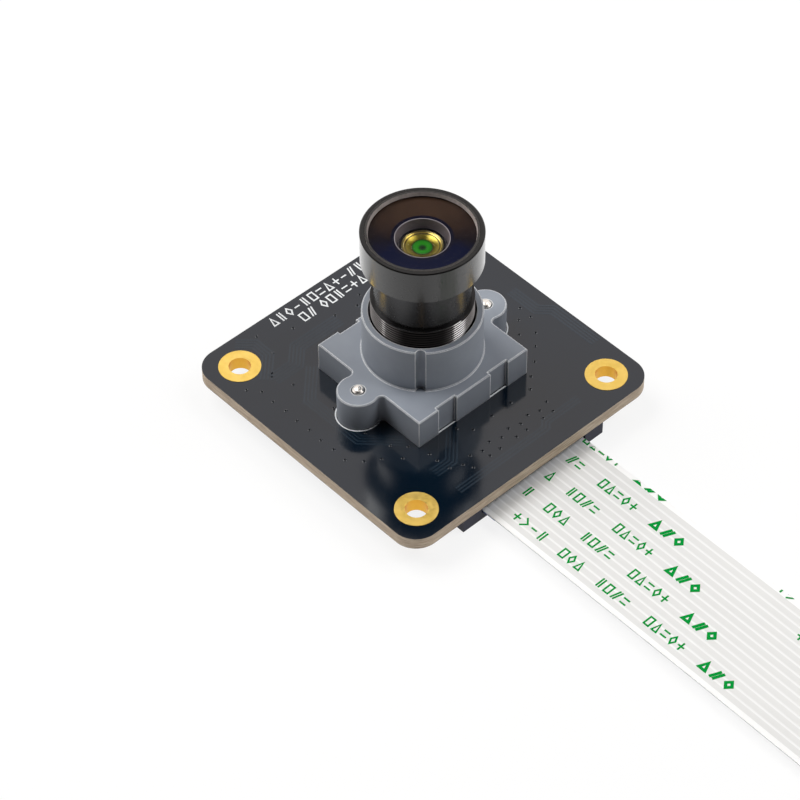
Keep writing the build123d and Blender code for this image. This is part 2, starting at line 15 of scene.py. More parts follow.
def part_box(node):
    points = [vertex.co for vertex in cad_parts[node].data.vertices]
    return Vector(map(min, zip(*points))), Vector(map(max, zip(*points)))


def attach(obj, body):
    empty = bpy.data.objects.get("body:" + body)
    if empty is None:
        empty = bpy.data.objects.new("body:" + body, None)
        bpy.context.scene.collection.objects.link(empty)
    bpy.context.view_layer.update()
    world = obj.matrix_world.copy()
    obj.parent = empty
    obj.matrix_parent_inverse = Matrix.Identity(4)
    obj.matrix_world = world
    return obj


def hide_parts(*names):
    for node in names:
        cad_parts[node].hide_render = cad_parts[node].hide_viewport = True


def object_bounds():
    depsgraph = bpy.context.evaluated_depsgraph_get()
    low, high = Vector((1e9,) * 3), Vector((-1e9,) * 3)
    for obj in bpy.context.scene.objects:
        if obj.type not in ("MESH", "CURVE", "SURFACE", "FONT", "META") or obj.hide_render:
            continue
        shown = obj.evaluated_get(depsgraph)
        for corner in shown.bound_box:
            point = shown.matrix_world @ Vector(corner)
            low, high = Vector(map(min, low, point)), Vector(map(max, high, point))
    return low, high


MM = 0.001

# Camera: where it stands round the board's top face, in degrees, and how far it is moved aside
camera_azimuth = 47.608
camera_elevation = 47.082
camera_roll = -0.601
camera_distance = 362.28 * MM
camera_slide_right = -2.624 * MM
camera_slide_up = -3.417 * MM
camera_lens = 140.9
camera_sensor = 36.0

# Lens barrel as turned, with heights above the board's underside
barrel_foot = 6.9 * MM
thread_crest_radius = 5.95 * MM
thread_root_radius = 5.85 * MM
thread_polish_radius = 5.90 * MM
thread_polish_fade = 0.01 * MM
thread_pitch = 0.35 * MM
thread_chamfer = 0.25 * MM
thread_collar = 0.12 * MM
shoulder_level = 14.1 * MM
neck_radius = 5.55 * MM
head_foot = 19.7 * MM
head_radius = 7.0 * MM
head_chamfer = 0.12 * MM
pocket_radius = 6.45 * MM
pocket_floor = 20.9 * MM
bore_radius = 4.6 * MM
lip_radius = 3.7 * MM
lip_top = 7.7 * MM
front_bowl_radius = 3.07 * MM
second_seat_radius = 2.7 * MM
front_glass_back = 22.9 * MM
front_glass_rim = 23.6 * MM
glass_ink_radius = 6.40 * MM
glass_ink_rise = 0.03 * MM
glass_ink_slope_rise = 0.50 * MM
glass_ink_gap = 0.01 * MM
turned_segments = 256
weld_distance = 0.0001 * MM
thread_profile = (thread_crest_radius, thread_crest_radius, thread_root_radius, thread_root_radius)

# Domed tips of the holder's screws
screw_places = ((0.0, 10.0 * MM), (0.0, -10.0 * MM))
screw_tip_radius = 0.72 * MM
screw_tip_rise = 0.36 * MM
dome_lift = 0.06 * MM
dome_span = radians(86)
dome_rings = 8
dome_segments = 48

# Flat cable: each point of its route is a distance from the latch's front and a height
latch_front = 18.5 * MM
cable_route = ((-4.8, -1.3), (25.5, -1.3), (57.5, -1.95), (89.5, -2.4), (145.2, -2.4))
cable_width = 16.0 * MM
cable_thickness = 0.2 * MM
conductor_count = 15
conductor_pitch = 1.0 * MM
conductor_width = 0.7 * MM
conductor_ridge = 0.02 * MM
ridge_slope = 0.08 * MM
bare_end_length = 4.0 * MM

# Print on the cable: rows of mark groups, each row a step back from the one below it
print_rise = 0.012 * MM
print_height = 1.45 * MM
print_stroke = 0.22 * MM
print_bold_stroke = 0.38 * MM
print_row_pitch = 3.5 * MM
print_first_row = -5.85 * MM
print_row_step = -5.8 * MM
print_period = 50.6 * MM
print_first_start = 21.3 * MM
print_row_count = 5
print_repeats = (-1, 0, 1, 2)
print_inset = 0.3 * MM
mark_share = 0.74
crossing_lift = 0.001 * MM
mitre_limit = 0.45

# Board legend: rows of marks, a ring round each ear and a line at the foot of each recess
legend_rise = 0.02 * MM
legend_height = 1.45 * MM
legend_stroke = 0.19 * MM
ear_ring_radius = 2.66 * MM
ear_ring_stroke = 0.16 * MM
ear_ring_segments = 72
recess_line_x = 8.33 * MM
recess_line_half = 1.3 * MM
recess_line_stroke = 0.17 * MM
recess_middles = (-4.05 * MM, 4.05 * MM)

# Board copper and vias
trace_rise = 0.012 * MM
trace_width = 0.2 * MM
trace_pitch = 0.42 * MM
via_radius = 0.23 * MM
via_pit_radius = 0.12 * MM
via_rise = 0.05 * MM
via_pit_lift = 0.2
via_segments = 24

# Limits in finishes: what counts as facing up, how sharply the painted edge highlights fade, and the
# mask's rim
facing_up_limit = 0.98
edge_highlight_likeness = (0.92, 0.998)
mask_rim = 0.035 * MM

# Floor and light. The studio's dark side is a direction, and the angles from it between which
# reflections brighten. A softbox has an azimuth and elevation in degrees, a distance, a width,
# a height, a brightness and a colour
floor_side = 1.6
floor_gap = 0.05 * MM
floor_whiteness = 0.85
world_light = 0.06
studio_tone = (1.0, 0.95, 0.93)
dark_side = (48, 62)
dark_side_inner = 30
dark_side_outer = 62
dark_side_level = 0.08
softboxes = (
    ("left_softbox", -70, 55, 0.60, 0.40, 0.40, 5.4, (1.0, 0.992, 0.98)),
    ("left_strip", -50, 43, 0.60, 0.22, 0.22, 2.4, (1.0, 0.99, 0.98)),
    ("right_softbox", 138, 48, 0.60, 0.36, 0.36, 4.5, (0.985, 0.99, 1.0)),
    ("back_left_softbox", 266, 61, 0.60, 0.14, 0.14, 5.0, (1.0, 0.95, 0.86)),
    ("back_right_softbox", 189, 61, 0.60, 0.14, 0.14, 5.0, (1.0, 0.95, 0.86)),
)

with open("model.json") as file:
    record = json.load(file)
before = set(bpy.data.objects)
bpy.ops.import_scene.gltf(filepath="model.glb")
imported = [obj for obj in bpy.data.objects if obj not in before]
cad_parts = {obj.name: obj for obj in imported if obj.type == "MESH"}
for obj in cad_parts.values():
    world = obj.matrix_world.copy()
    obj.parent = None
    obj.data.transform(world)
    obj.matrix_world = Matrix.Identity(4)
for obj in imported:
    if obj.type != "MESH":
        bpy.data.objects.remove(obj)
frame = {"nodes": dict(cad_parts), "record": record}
cad_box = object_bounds()
nodes = frame["nodes"]
board_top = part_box("circuit_board")[1].z
board_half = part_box("circuit_board")[1].x
screw_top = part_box("holder_screws")[1].z
front_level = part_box("lens_barrel")[1].z
floor_level = cad_box[0].z - floor_gap


# Short ways to build a shader

class Shading:
    """The nodes of a shader under construction, and short ways to add more."""

    def __init__(self, tree):
        self.tree = tree

    def add(self, kind, inputs=(), **settings):
        """A node with its settings, and its inputs as numbers or as other nodes' outputs."""
        node = self.tree.nodes.new(kind)
        for setting, value in settings.items():
            setattr(node, setting, value)
        for socket, value in dict(inputs).items():
            if isinstance(value, bpy.types.NodeSocket):
                self.tree.links.new(value, node.inputs[socket])
            else:
                node.inputs[socket].default_value = value
        return node

    def math(self, operation, first, second=0.0):
        return self.add("ShaderNodeMath", {0: first, 1: second}, operation=operation).outputs[0]

    def vector_math(self, operation, first, second=(0.0, 0.0, 0.0)):
        return self.add("ShaderNodeVectorMath", {0: first, 1: second}, operation=operation).outputs

    def spread(self, value, low, high, from_low=0.3, from_high=0.7):
        """Maps a value, such as noise, onto a range of numbers."""
        return self.add("ShaderNodeMapRange", {
            "Value": value, "From Min": from_low, "From Max": from_high,
            "To Min": low, "To Max": high}).outputs["Result"]

    def ramp(self, value, *stops):
        """Colours at positions along a value."""
        node = self.add("ShaderNodeValToRGB", {"Fac": value})
        elements = node.color_ramp.elements
        while len(elements) < len(stops):
            elements.new(1.0)
        for element, (position, colour) in zip(elements, stops):
            element.position = position
            element.color = (*colour, 1.0)
        return node.outputs["Color"]

    def shades(self, value, first, second):
        """Two colours that meet softly over the middle of a value, such as noise."""
        return self.ramp(value, (0.3, first), (0.7, second))

    def blend(self, factor, first, second):
        """Two colours mixed by a factor."""
        first, second = (colour if isinstance(colour, bpy.types.NodeSocket) else (*colour, 1.0)
                         for colour in (first, second))
        return self.add("ShaderNodeMix", {"Factor": factor, "A": first, "B": second},
                        data_type="RGBA").outputs["Result"]

    def camera_ray(self):
        return self.add("ShaderNodeLightPath").outputs["Is Camera Ray"]

    def looking_ray(self):
        """One for rays from the camera, a reflection or clear glass, and zero for light."""
        rays = self.add("ShaderNodeLightPath").outputs
        seen = self.math("MAXIMUM", rays["Is Camera Ray"], rays["Is Glossy Ray"])
        return self.math("MAXIMUM", seen, rays["Is Transmission Ray"])


class Finish(Shading):
    """A material under construction, with its main shader and the place being shaded."""

    def __init__(self, name, **values):
        self.material = bpy.data.materials.new(name)
        self.material.use_nodes = True
        super().__init__(self.material.node_tree)
        self.shader = self.tree.nodes["Principled BSDF"]
        self.place = self.add("ShaderNodeTexCoord").outputs["Object"]
        for socket, value in values.items():
            self.shader.inputs[socket.replace("_", " ")].default_value = value

    def drive(self, socket, value):
        """Feeds one of the shader's inputs."""
        self.tree.links.new(value, self.shader.inputs[socket])

    def noise(self, size, detail=2.0, stretch=(1.0, 1.0, 1.0)):
        """Cloudy noise whose features are about the given size, drawn out along the axes."""
        place = self.add("ShaderNodeMapping", {"Vector": self.place, "Scale": stretch}).outputs[0]
        return self.add("ShaderNodeTexNoise",
                        {"Vector": place, "Scale": 1 / size, "Detail": detail}).outputs["Fac"]

    def axis(self, letter):
        """One coordinate of the point being shaded, in the part's own frame."""
        return self.add("ShaderNodeSeparateXYZ", {0: self.place}).outputs[letter]

    def radius(self):
        """Distance from the Z axis of the part's own frame."""
        level = self.vector_math("MULTIPLY", self.place, (1.0, 1.0, 0.0))[0]
        return self.vector_math("LENGTH", level)["Value"]

    def lean(self):
        """One on faces that look straight up, zero on upright ones, and shares of one between."""
        true_normal = self.add("ShaderNodeNewGeometry").outputs["True Normal"]
        return self.add("ShaderNodeSeparateXYZ", {0: true_normal}).outputs["Z"]

    def facing_up(self):
        """One on faces that look straight up, and zero on the others."""
        return self.math("GREATER_THAN", self.lean(), facing_up_limit)

    def between(self, value, low, high):
        """One where the value lies between two limits, and zero elsewhere."""
        above = self.math("GREATER_THAN", value, low)
        return self.math("MULTIPLY", above, self.math("LESS_THAN", value, high))

    def bump(self, height, depth, normal=None):
        """Relief on the surface, its height in metres."""
        inputs = {"Height": height, "Distance": depth}
        if normal:
            inputs["Normal"] = normal
        self.drive("Normal", self.add("ShaderNodeBump", inputs).outputs["Normal"])

    def rounded(self, radius):
        """Normals that turn smoothly round sharp edges."""
        return self.add("ShaderNodeBevel", {"Radius": radius}, samples=6).outputs["Normal"]

    def edge_highlight_mask(self, softened):
        """Near one on the edges that the rounded normals soften, and zero on open faces: the mask of the
        painted edge highlights.
        """
        flat = self.add("ShaderNodeNewGeometry").outputs["Normal"]
        likeness = self.vector_math("DOT_PRODUCT", softened, flat)["Value"]
        return self.spread(likeness, 1.0, 0.0, *edge_highlight_likeness)


# Finishes, one for each slot of the record

def board_finish():
    """Glossy black solder mask on both faces, and sawn glass laminate round the edge."""
    look = Finish("board_mask", IOR=1.62)
    height = look.axis("Z")
    sawn = look.between(height, mask_rim, board_top - mask_rim)
    cloud = look.noise(9 * MM, 3.0)
    mask = look.shades(cloud, (0.0005, 0.0046, 0.0115), (0.0010, 0.0062, 0.0140))
    layers = look.noise(0.5 * MM, 3.0, (0.25, 0.25, 5.0))
    laminate = look.ramp(layers, (0.32, (0.30, 0.22, 0.15)), (0.5, (0.45, 0.35, 0.25)),
                         (0.68, (0.60, 0.50, 0.38)))
    look.drive("Base Color", look.blend(sawn, mask, laminate))
    smear = look.spread(look.noise(4 * MM, 4.0), 0.10, 0.15)
    look.drive("Roughness", look.math("ADD", smear, look.math("MULTIPLY", sawn, 0.5)))
    look.bump(look.noise(0.9 * MM, 2.0), 0.0012 * MM)
    return look.material


def trace_finish():
    """Copper under the solder mask: the same gloss, a shade lighter."""
    look = Finish("board_copper", Roughness=0.16, IOR=1.62)
    cloud = look.noise(5 * MM)
    look.drive("Base Color", look.shades(cloud, (0.006, 0.016, 0.028), (0.009, 0.020, 0.034)))
    return look.material


def pit_shade_finish():
    """Painted shade: the dark middle of a via, where the mask sinks into the hole."""
    look = Finish("via_pit_shade", Specular_IOR_Level=0.1)
    grain = look.noise(0.05 * MM)
    look.drive("Base Color", look.shades(grain, (0.001, 0.002, 0.004), (0.003, 0.005, 0.008)))
    look.drive("Roughness", look.spread(grain, 0.5, 0.7))
    return look.material


def legend_finish():
    """White screen-printed ink."""
    look = Finish("board_legend", Roughness=0.55)
    grain = look.noise(0.12 * MM, 3.0)
    look.drive("Base Color", look.ramp(grain, (0.35, (0.66, 0.69, 0.71)), (0.6, (0.83, 0.85, 0.86))))
    look.bump(grain, 0.004 * MM)
    return look.material


def gold_finish():
    """Gold plated copper, with the faint grain of the copper below."""
    look = Finish("gold_plate", Metallic=1.0)
    cloud = look.noise(1.4 * MM, 3.0)
    face = look.shades(cloud, (0.65, 0.45, 0.10), (0.72, 0.51, 0.14))
    # Walls a deeper, darker orange than faces that look up: painted shade and reflected gold light inside
    # the holes
    look.drive("Base Color", look.blend(look.facing_up(), (0.84, 0.46, 0.06), face))
    look.drive("Roughness", look.spread(look.noise(0.25 * MM), 0.30, 0.44))
    look.bump(look.noise(0.09 * MM), 0.002 * MM)
    return look.material


def holder_finish():
    """Fine-grained grey moulding, with a painted white highlight along its edges."""
    look = Finish("holder_moulding", Specular_IOR_Level=0.32)
    grain = look.noise(0.07 * MM, 3.0)
    cloud = look.noise(3.5 * MM, 3.0)
    body = look.shades(cloud, (0.248, 0.272, 0.316), (0.278, 0.304, 0.348))
    softened = look.rounded(0.18 * MM)
    # Edges blended to white: a painted highlight
    look.drive("Base Color", look.blend(look.edge_highlight_mask(softened), body, (1.0, 1.0, 1.0)))
    look.drive("Roughness", look.spread(grain, 0.40, 0.54))
    look.bump(grain, 0.006 * MM, softened)
    return look.material


def screw_finish():
    """Bright plated steel."""
    look = Finish("screw_steel", Metallic=1.0)
    turned = look.noise(0.3 * MM, 2.0, (1.0, 1.0, 6.0))
    look.drive("Base Color", look.shades(turned, (0.80, 0.77, 0.72), (0.92, 0.90, 0.86)))
    look.drive("Roughness", look.spread(look.noise(0.15 * MM), 0.16, 0.30))
    return look.material


def turned_finish(name, **values):
    """Anodised metal with faint rings left by the lathe."""
    look = Finish(name, **values)
    look.bump(look.noise(0.05 * MM, 2.0, (0.02, 0.02, 1.0)), 0.0002 * MM)
    return look


def barrel_finish():
    """Sealed satin head, a duller neck, and a thread whose flanks alone catch the light."""
    look = turned_finish("barrel_black", IOR=1.9, Coat_Roughness=0.14)
    height = look.axis("Z")
    thread = look.math("LESS_THAN", height, shoulder_level - thread_collar)
    head = look.math("GREATER_THAN", height, head_foot)
    lean = look.lean()
    polished = look.spread(look.radius(), 0.0, 1.0, thread_polish_radius - thread_polish_fade,
                           thread_polish_radius + thread_polish_fade)
    flank = look.math("MULTIPLY", look.spread(lean, 0.0, 1.0, 0.1, 0.5), polished)
    cloud = look.noise(2.5 * MM, 3.0)
    smooth_black = look.shades(cloud, (0.0045, 0.0042, 0.0042), (0.0060, 0.0056, 0.0056))
    thread_black = look.blend(flank, (0.002, 0.002, 0.002), (0.27, 0.262, 0.262))
    look.drive("Base Color", look.blend(thread, smooth_black, thread_black))
    look.drive("Metallic", thread)
    side_tint = look.blend(head, (0.44, 0.44, 0.46), (0.04, 0.04, 0.04))
    thread_tint = look.blend(flank, (0.02, 0.02, 0.02), (1.0, 1.0, 1.0))
    tint = look.blend(thread, side_tint, thread_tint)
    look.drive("Specular Tint", look.blend(look.facing_up(), tint, (0.22, 0.22, 0.22)))
    look.drive("Coat Weight", look.math("MULTIPLY", head, look.math("LESS_THAN", lean, 0.5)))
    smear = look.spread(look.noise(0.9 * MM, 3.0), 0.24, 0.28)
    look.drive("Roughness", look.math("MULTIPLY", smear, look.spread(thread, 1.0, 0.45, 0.0, 1.0)))
    return look.material


def ring_finish():
    """The retaining ring: satin black on top, with its flare painted light as a highlight."""
    look = turned_finish("ring_black", IOR=1.44)
    streak = look.noise(0.8 * MM, 3.0, (1.0, 1.0, 0.2))
    painted_flare_highlight = look.shades(streak, (0.44, 0.38, 0.35), (0.60, 0.53, 0.49))
    cloud = look.noise(2.5 * MM, 3.0)
    black = look.shades(cloud, (0.018, 0.016, 0.015), (0.023, 0.021, 0.019))
    # Faces that don't look up, the flare among them, get a light colour: a painted highlight
    look.drive("Base Color", look.blend(look.facing_up(), painted_flare_highlight, black))
    look.drive("Roughness", look.spread(look.noise(0.2 * MM, 3.0), 0.25, 0.32))
    return look.material


def spacer_finish():
    """The spacers between the glasses: a duller black that catches some light."""
    look = turned_finish("spacer_black", IOR=1.55)
    cloud = look.noise(2.5 * MM, 3.0)
    look.drive("Base Color", look.shades(cloud, (0.16, 0.135, 0.145), (0.216, 0.182, 0.196)))
    look.drive("Roughness", look.spread(look.noise(0.2 * MM, 3.0), 0.39, 0.46))
    return look.material


def glass_finish(name, tint):
    """Clear optical glass, very faintly streaked."""
    look = Finish(name, Roughness=0.0, IOR=1.5, Transmission_Weight=1.0)
    lighter = tuple(min(1.0, 1.06 * part) for part in tint)
    look.drive("Base Color", look.shades(look.noise(4 * MM), tint, lighter))
    return look.material


def front_glass_finish():
    """The front glass: clear, and seen by its gloss alone."""
    look = Finish("front_glass", Roughness=0.03, IOR=1.3)
    cloud = look.noise(1.5 * MM, 3.0)
    look.drive("Base Color", look.shades(cloud, (0.004, 0.004, 0.012), (0.010, 0.008, 0.010)))
    look.drive("Alpha", look.spread(cloud, 0.04, 0.06))
    return look.material


def glass_ink_finish():
    """Ink behind the front glass, its colour turning from navy to brown with the viewing angle: a painted
    sheen of the glass's coating.
    """
    look = Finish("glass_ink", Roughness=0.08, IOR=1.15)
    radius = look.radius()
    slant = look.add("ShaderNodeLayerWeight", {"Blend": 0.5}).outputs["Facing"]
    cloud = look.spread(look.noise(1.5 * MM, 3.0), -0.012, 0.012)
    # Base colour set by the viewing angle, navy facing and brown at a slant: a painted sheen
    painted_coating_sheen = look.ramp(look.spread(look.math("ADD", slant, cloud), 0.0, 1.0, 0.17, 0.36),
                      (0.0, (0.060, 0.034, 0.021)), (0.52, (0.026, 0.014, 0.010)),
                      (0.80, (0.006, 0.004, 0.007)), (1.0, (0.000, 0.002, 0.020)))
    # A light line round the bowl's edge: a painted highlight
    bowl_edge_highlight = look.math("LESS_THAN", radius, front_bowl_radius + 0.07 * MM)
    halo = look.math("LESS_THAN", radius, front_bowl_radius + 0.45 * MM)
    ink = look.blend(halo, painted_coating_sheen, (0.003, 0.003, 0.012))
    look.drive("Base Color", look.blend(bowl_edge_highlight, ink, (0.34, 0.31, 0.33)))
    return look.material


def gold_glass_finish():
    """The second glass: gold rings round its dish, and a green middle that shines, with a painted dark
    reflection at its centre.
    """
    look = Finish("gold_glass", IOR=1.3)
    share = look.math("DIVIDE", look.radius(), second_seat_radius)
    rings = look.ramp(
        share,
        # The dark centre of the green middle is a painted reflection
        (0.00, (0.004, 0.020, 0.001)),
        (0.12, (0.004, 0.050, 0.002)),
        (0.24, (0.012, 0.270, 0.003)),
        (0.39, (0.010, 0.150, 0.002)),
        (0.43, (0.010, 0.020, 0.003)),
        (0.47, (0.090, 0.078, 0.008)),
        (0.60, (0.200, 0.160, 0.022)),
        (0.69, (0.300, 0.240, 0.050)),
        (0.715, (0.020, 0.014, 0.004)),
        (0.75, (0.020, 0.014, 0.004)),
        (0.765, (0.560, 0.430, 0.110)),
        (0.785, (0.560, 0.430, 0.110)),
        (0.80, (0.025, 0.018, 0.006)),
        (0.825, (0.025, 0.018, 0.006)),
        (0.84, (0.400, 0.330, 0.120)),
        (0.86, (0.012, 0.011, 0.010)),
        (0.95, (0.010, 0.009, 0.010)),
        (1.00, (0.150, 0.140, 0.145)),
    )
    streak = look.shades(look.noise(0.6 * MM, 3.0), (0.86, 0.86, 0.86), (1.0, 1.0, 1.0))
    look.drive("Base Color", look.vector_math("MULTIPLY", rings, streak)[0])
    look.drive("Metallic", look.spread(share, 0.3, 0.9, 0.40, 0.46))
    look.drive("Roughness", look.spread(share, 0.08, 0.18, 0.40, 0.46))
    return look.material


def green_glass_finish():
    return glass_finish("green_glass", (0.25, 0.85, 0.20))


def clear_glass_finish():
    return glass_finish("clear_glass", (0.93, 0.97, 0.97))


def filter_finish():
    return glass_finish("filter_glass", (0.60, 0.88, 0.90))


def ceramic_finish(name, colour):
    """Fired ceramic, matt and faintly speckled."""
    look = Finish(name)
    speckle = look.noise(0.06 * MM, 3.0)
    darker = tuple(0.8 * part for part in colour)
    look.drive("Base Color", look.ramp(speckle, (0.35, darker), (0.65, colour)))
    look.drive("Roughness", look.spread(speckle, 0.45, 0.6))
    look.bump(speckle, 0.003 * MM)
    return look.material


def silicon_finish():
    """The sensor's die, with the fine iridescence of its pixels."""
    look = Finish("silicon", Metallic=0.6, Roughness=0.12)
    sheen = look.noise(2.2 * MM)
    look.drive("Base Color", look.ramp(sheen, (0.3, (0.05, 0.10, 0.18)), (0.5, (0.10, 0.16, 0.14)),
                                       (0.7, (0.16, 0.08, 0.18))))
    return look.material


def moulded_plastic(name, colour, roughness):
    """Fine-grained moulded plastic with a slightly lighter painted highlight along its edges."""
    look = Finish(name, Specular_IOR_Level=0.15)
    grain = look.noise(0.08 * MM, 3.0)
    lighter = tuple(1.5 * part + 0.01 for part in colour)
    # Lighter edges: a painted highlight
    edge = look.math("MULTIPLY", look.edge_highlight_mask(look.rounded(0.08 * MM)), 0.6)
    body = look.shades(look.noise(2 * MM), colour, tuple(1.15 * part for part in colour))
    look.drive("Base Color", look.blend(edge, body, lighter))
    look.drive("Roughness", look.spread(grain, roughness - 0.06, roughness + 0.08))
    look.bump(grain, 0.004 * MM)
    return look.material


def connector_finish():
    return moulded_plastic("connector_plastic", (0.012, 0.013, 0.022), 0.42)


def latch_finish():
    return moulded_plastic("latch_plastic", (0.020, 0.021, 0.040), 0.40)


def chip_finish():
    return moulded_plastic("chip_black", (0.018, 0.018, 0.019), 0.55)


def tin_finish():
    """Dull tin plating."""
    look = Finish("tin_plate", Metallic=1.0)
    cloud = look.noise(0.3 * MM, 3.0)
    look.drive("Base Color", look.shades(cloud, (0.58, 0.58, 0.57), (0.74, 0.74, 0.73)))
    look.drive("Roughness", look.spread(cloud, 0.28, 0.42))
    look.bump(cloud, 0.0006 * MM)
    return look.material


def lid_finish():
    """Brushed nickel silver lid."""
    look = Finish("lid_metal", Metallic=1.0)
    brushed = look.noise(0.06 * MM, 2.0, (0.05, 1.0, 1.0))
    look.drive("Base Color", look.shades(brushed, (0.56, 0.53, 0.46), (0.72, 0.69, 0.60)))
    look.drive("Roughness", look.spread(brushed, 0.25, 0.38))
    look.bump(brushed, 0.002 * MM)
    return look.material


def cable_finish():
    """White film, greyer where it lies over a conductor, and bright along both margins."""
    look = Finish("cable_film", IOR=1.48)
    across = look.axis("Y")
    offset = look.math("PINGPONG", across, conductor_pitch / 2)
    edge = conductor_width / 2
    gap = look.spread(offset, 0.0, 1.0, edge - 0.02 * MM, edge + 0.07 * MM)
    outside = look.math("GREATER_THAN", look.math("ABSOLUTE", across),
                        (conductor_count - 1) / 2 * conductor_pitch + edge)
    cloud = look.noise(6 * MM, 3.0, (0.3, 1.0, 1.0))
    over_conductor = look.shades(cloud, (0.735, 0.735, 0.73), (0.765, 0.765, 0.76))
    film = look.blend(gap, over_conductor, (0.87, 0.87, 0.87))
    look.drive("Base Color", look.blend(outside, film, (0.94, 0.94, 0.94)))
    look.drive("Roughness", look.spread(look.noise(1.2 * MM, 3.0), 0.32, 0.46))
    look.bump(look.noise(0.5 * MM, 2.0, (0.3, 1.0, 1.0)), 0.004 * MM)
    return look.material


def print_finish():
    """Green ink printed on the film."""
    look = Finish("cable_print", Roughness=0.6, Specular_IOR_Level=0.05)
    grain = look.noise(0.1 * MM, 3.0)
    look.drive("Base Color", look.ramp(grain, (0.35, (0.000, 0.25, 0.030)),
                                       (0.65, (0.001, 0.33, 0.050))))
    return look.material


def stiffener_finish():
    """Blue film that stiffens the cable's ends."""
    look = Finish("stiffener_blue", IOR=1.5)
    cloud = look.noise(3 * MM, 3.0)
    look.drive("Base Color", look.shades(cloud, (0.020, 0.090, 0.42), (0.030, 0.12, 0.50)))
    look.drive("Roughness", look.spread(cloud, 0.25, 0.36))
    return look.material


finish_makers = {
    "board": board_finish,
    "gold_plate": gold_finish,
    "holder": holder_finish,
    "screw_steel": screw_finish,
    "ceramic": lambda: ceramic_finish("sensor_ceramic", (0.30, 0.24, 0.21)),
    "silicon": silicon_finish,
    "clear_glass": clear_glass_finish,
    "filter_glass": filter_finish,
    "barrel_black": barrel_finish,
    "spacer_black": spacer_finish,
    "coated_glass": lambda: glass_finish("coated_glass", (0.90, 0.86, 0.84)),
    "gold_coated_glass": gold_glass_finish,
    "green_coated_glass": green_glass_finish,
    "connector_plastic": connector_finish,
    "latch_plastic": latch_finish,
    "tin_plate": tin_finish,
    "cable_film": cable_finish,
    "stiffener_blue": stiffener_finish,
    "chip_black": chip_finish,
    "ceramic_dark": lambda: ceramic_finish("dark_ceramic", (0.11, 0.095, 0.085)),
    "lid_metal": lid_finish,
    "capacitor_brown": lambda: ceramic_finish("capacitor_ceramic", (0.42, 0.27, 0.16)),
}
finishes = {slot: maker() for slot, maker in finish_makers.items()}
finishes["board_legend"] = legend_finish()
finishes["board_copper"] = trace_finish()
finishes["via_pit_shade"] = pit_shade_finish()
finishes["cable_print"] = print_finish()
for subpart in frame["record"]["subparts"]:
    nodes[subpart["node"]].material_slots[0].material = finishes[subpart["material_slot"]]
nodes["front_lens_element"].material_slots[0].material = front_glass_finish()
nodes["front_retaining_ring"].material_slots[0].material = ring_finish()


# Short ways to build meshes

def new_piece(name, vertices, faces, material, body, sharp_angle=30, weld=False):
    """A mesh that rides on a body, smooth but for edges sharper than the given angle."""
    mesh = bpy.data.meshes.new(name)
    mesh.from_pydata(vertices, [], faces)
    if weld:
        shape = bmesh.new()
        shape.from_mesh(mesh)
        bmesh.ops.remove_doubles(shape, verts=shape.verts, dist=weld_distance)
        bmesh.ops.recalc_face_normals(shape, faces=shape.faces)
        shape.to_mesh(mesh)
        shape.free()
    mesh.validate()
    mesh.polygons.foreach_set("use_smooth", [True] * len(mesh.polygons))
    mesh.set_sharp_from_angle(angle=radians(sharp_angle))
    mesh.materials.append(material)
    piece = bpy.data.objects.new(name, mesh)
    bpy.context.scene.collection.objects.link(piece)
    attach(piece, body)
    return piece


def ring_of_points(radius, level, segments, centre=(0.0, 0.0)):
    """Points round a level circle."""
    turns = [tau * step / segments for step in range(segments)]
    return [(centre[0] + radius * cos(turn), centre[1] + radius * sin(turn), level) for turn in turns]


def faces_between_rings(ring_count, segments, first=0):
    """Quads that join each ring of points to the next one."""
    faces = []
    for ring in range(ring_count - 1):
        here = first + ring * segments
        there = here + segments
        for step in range(segments):
            after = (step + 1) % segments
            faces.append((here + step, here + after, there + after, there + step))
    return faces


def beside(points, distance, closed=False):
    """The line of points moved sideways by a distance, and mitred at its corners."""
    moved = []
    count = len(points)
    for index, point in enumerate(points):
        before = points[index - 1] if closed or index else point
        after = points[(index + 1) % count] if closed or index + 1 < count else point
        forward = (after - point).normalized() if after != point else (point - before).normalized()
        backward = (point - before).normalized() if before != point else forward
        middle = (forward + backward).normalized()
        reach = distance / max(middle.dot(forward), mitre_limit)
        moved.append(point + Vector((-middle.y, middle.x)) * reach)
    return moved


class Strokes:
    """Flat strokes of ink or copper, gathered into one mesh that stands a little proud."""

    def __init__(self, level_at, rise, side_limit=1.0):
        self.level_at = level_at
        self.rise = rise
        self.side_limit = side_limit
        self.vertices = []
        self.faces = []

    def path(self, points, width, closed=False, lift=0.0):
        """A stroke along a line of points, mitred at its corners and cut off square at its ends."""
        points = [Vector(point) for point in points]
        if min(point.y for point in points) - width / 2 >= self.side_limit:
            return
        if not closed:
            points[0] -= (points[1] - points[0]).normalized() * width / 2
            points[-1] += (points[-1] - points[-2]).normalized() * width / 2
        base = len(self.vertices)
        sides = (beside(points, -width / 2, closed), beside(points, width / 2, closed))
        for pair in zip(*sides):
            for corner in pair:
                place = (corner.x, min(corner.y, self.side_limit))
                level = self.level_at(corner.x)
                self.vertices += [(*place, level), (*place, level + self.rise + lift)]
        for index in range(len(points) if closed else len(points) - 1):
            here = base + 4 * index
            there = base + 4 * ((index + 1) % len(points))
            self.faces.append((here + 1, there + 1, there + 3, here + 3))
            self.faces.append((here, there, there + 1, here + 1))
            self.faces.append((here + 2, here + 3, there + 3, there + 2))
        if not closed:
            last = base + 4 * (len(points) - 1)
            self.faces.append((base, base + 1, base + 3, base + 2))
            self.faces.append((last, last + 2, last + 3, last + 1))

    def mark(self, name, origin, along, up, width):
        """One of the plain marks, in a cell that starts at origin and spans the vectors along and up."""
        for order, (closed, outline) in enumerate(marks[name]):
            points = [Vector(origin) + Vector(along) * u + Vector(up) * v for u, v in outline]
            self.path(points, width, closed, order * crossing_lift)

    def piece(self, name, material, body):
        return new_piece(name, self.vertices, self.faces, material, body)


